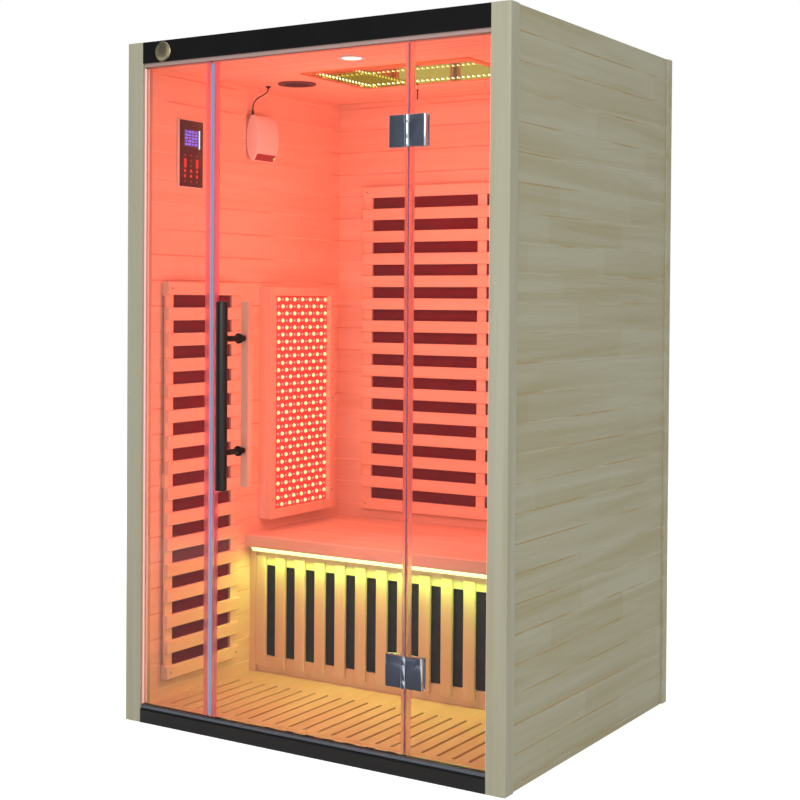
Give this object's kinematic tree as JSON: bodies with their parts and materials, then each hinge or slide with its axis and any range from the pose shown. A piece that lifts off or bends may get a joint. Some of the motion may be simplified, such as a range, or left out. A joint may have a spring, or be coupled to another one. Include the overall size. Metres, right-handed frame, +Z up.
{
  "type": "infrared sauna cabin",
  "caption": "Infrared sauna cabin: boarded timber walls, a glass front with a hinged door and pull handle, a bench, slatted heater guards, and lights on wall and ceiling.",
  "frame": {"origin": "middle of the underside of the floor", "axes": "+Z up, +X to the right as seen from the door, -Y out through the door"},
  "size_m": [1.2, 1.128, 1.9],
  "materials": {
    "outer_boards": "sanded hemlock, unfinished",
    "inner_boards": "sanded hemlock, unfinished",
    "slats": "planed hemlock, eased edges",
    "black_gloss": "high gloss",
    "clear_glass": "polished",
    "clear_seal": "translucent",
    "channel": "satin anodised",
    "polished_steel": "polished",
    "black_steel": "satin powder coat",
    "grey_metal": "satin",
    "heater": "matt carbon laminate",
    "led_board": "matt",
    "dark_plastic": "gloss",
    "white_plastic": "satin gloss",
    "rubber": "matt",
    "lamp": "frosted",
    "strip_light": "satin anodised",
    "mirror": "half-silvered"
  },
  "bodies": {
    "cabin": {"floor_base": "outer_boards", "floor_grille": "inner_boards", "left_wall_panel": "outer_boards", "left_wall_lining": "inner_boards", "right_wall_panel": "outer_boards", "right_wall_lining": "inner_boards", "back_wall_panel": "outer_boards", "back_wall_lining": "inner_boards", "front_left_post": "outer_boards", "front_right_post": "outer_boards", "header_fascia": "black_gloss", "header_beam": "outer_boards", "sill": "black_gloss", "glass_channel": "channel", "roof_panel": "outer_boards", "ceiling_boards": "inner_boards", "power_unit": "grey_metal", "left_pane": "clear_glass", "right_pane": "clear_glass", "left_pane_seal": "clear_seal", "bench_top": "inner_boards", "bench_nose": "slats", "left_bench_support": "slats", "right_bench_support": "slats", "bench_light": "strip_light", "left_guard": "slats", "right_guard": "slats", "back_guard": "slats", "calf_guard": "slats", "left_heater": "heater", "right_heater": "heater", "back_heater_left": "heater", "back_heater_right": "heater", "calf_heater": "heater", "therapy_frame": "slats", "therapy_panel": "led_board", "control_panel": "dark_plastic", "ionizer": "white_plastic", "ionizer_lead": "rubber", "lead_gland": "rubber", "temperature_probe": "rubber", "downlight": "lamp", "mirror_light": "mirror", "vent_grille": "dark_plastic", "upper_hinge_fixed_leaf": "polished_steel", "upper_hinge_fixed_clamp": "polished_steel", "upper_hinge_pin": "polished_steel", "lower_hinge_fixed_leaf": "polished_steel", "lower_hinge_fixed_clamp": "polished_steel", "lower_hinge_pin": "polished_steel"},
    "door": {"door_glass": "clear_glass", "door_seal": "clear_seal", "outer_handle": "black_steel", "inner_handle": "slats", "upper_handle_standoff": "polished_steel", "lower_handle_standoff": "polished_steel", "upper_hinge_door_leaf": "polished_steel", "upper_hinge_door_clamp": "polished_steel", "lower_hinge_door_leaf": "polished_steel", "lower_hinge_door_clamp": "polished_steel"}
  },
  "joints": [
    {"name": "door_hinge", "type": "hinge", "parent": "cabin", "child": "door", "pos_m": [0.311, -0.519, 0.95], "axis": [0, 0, 1], "range_deg": [0, 115]}
  ]
}
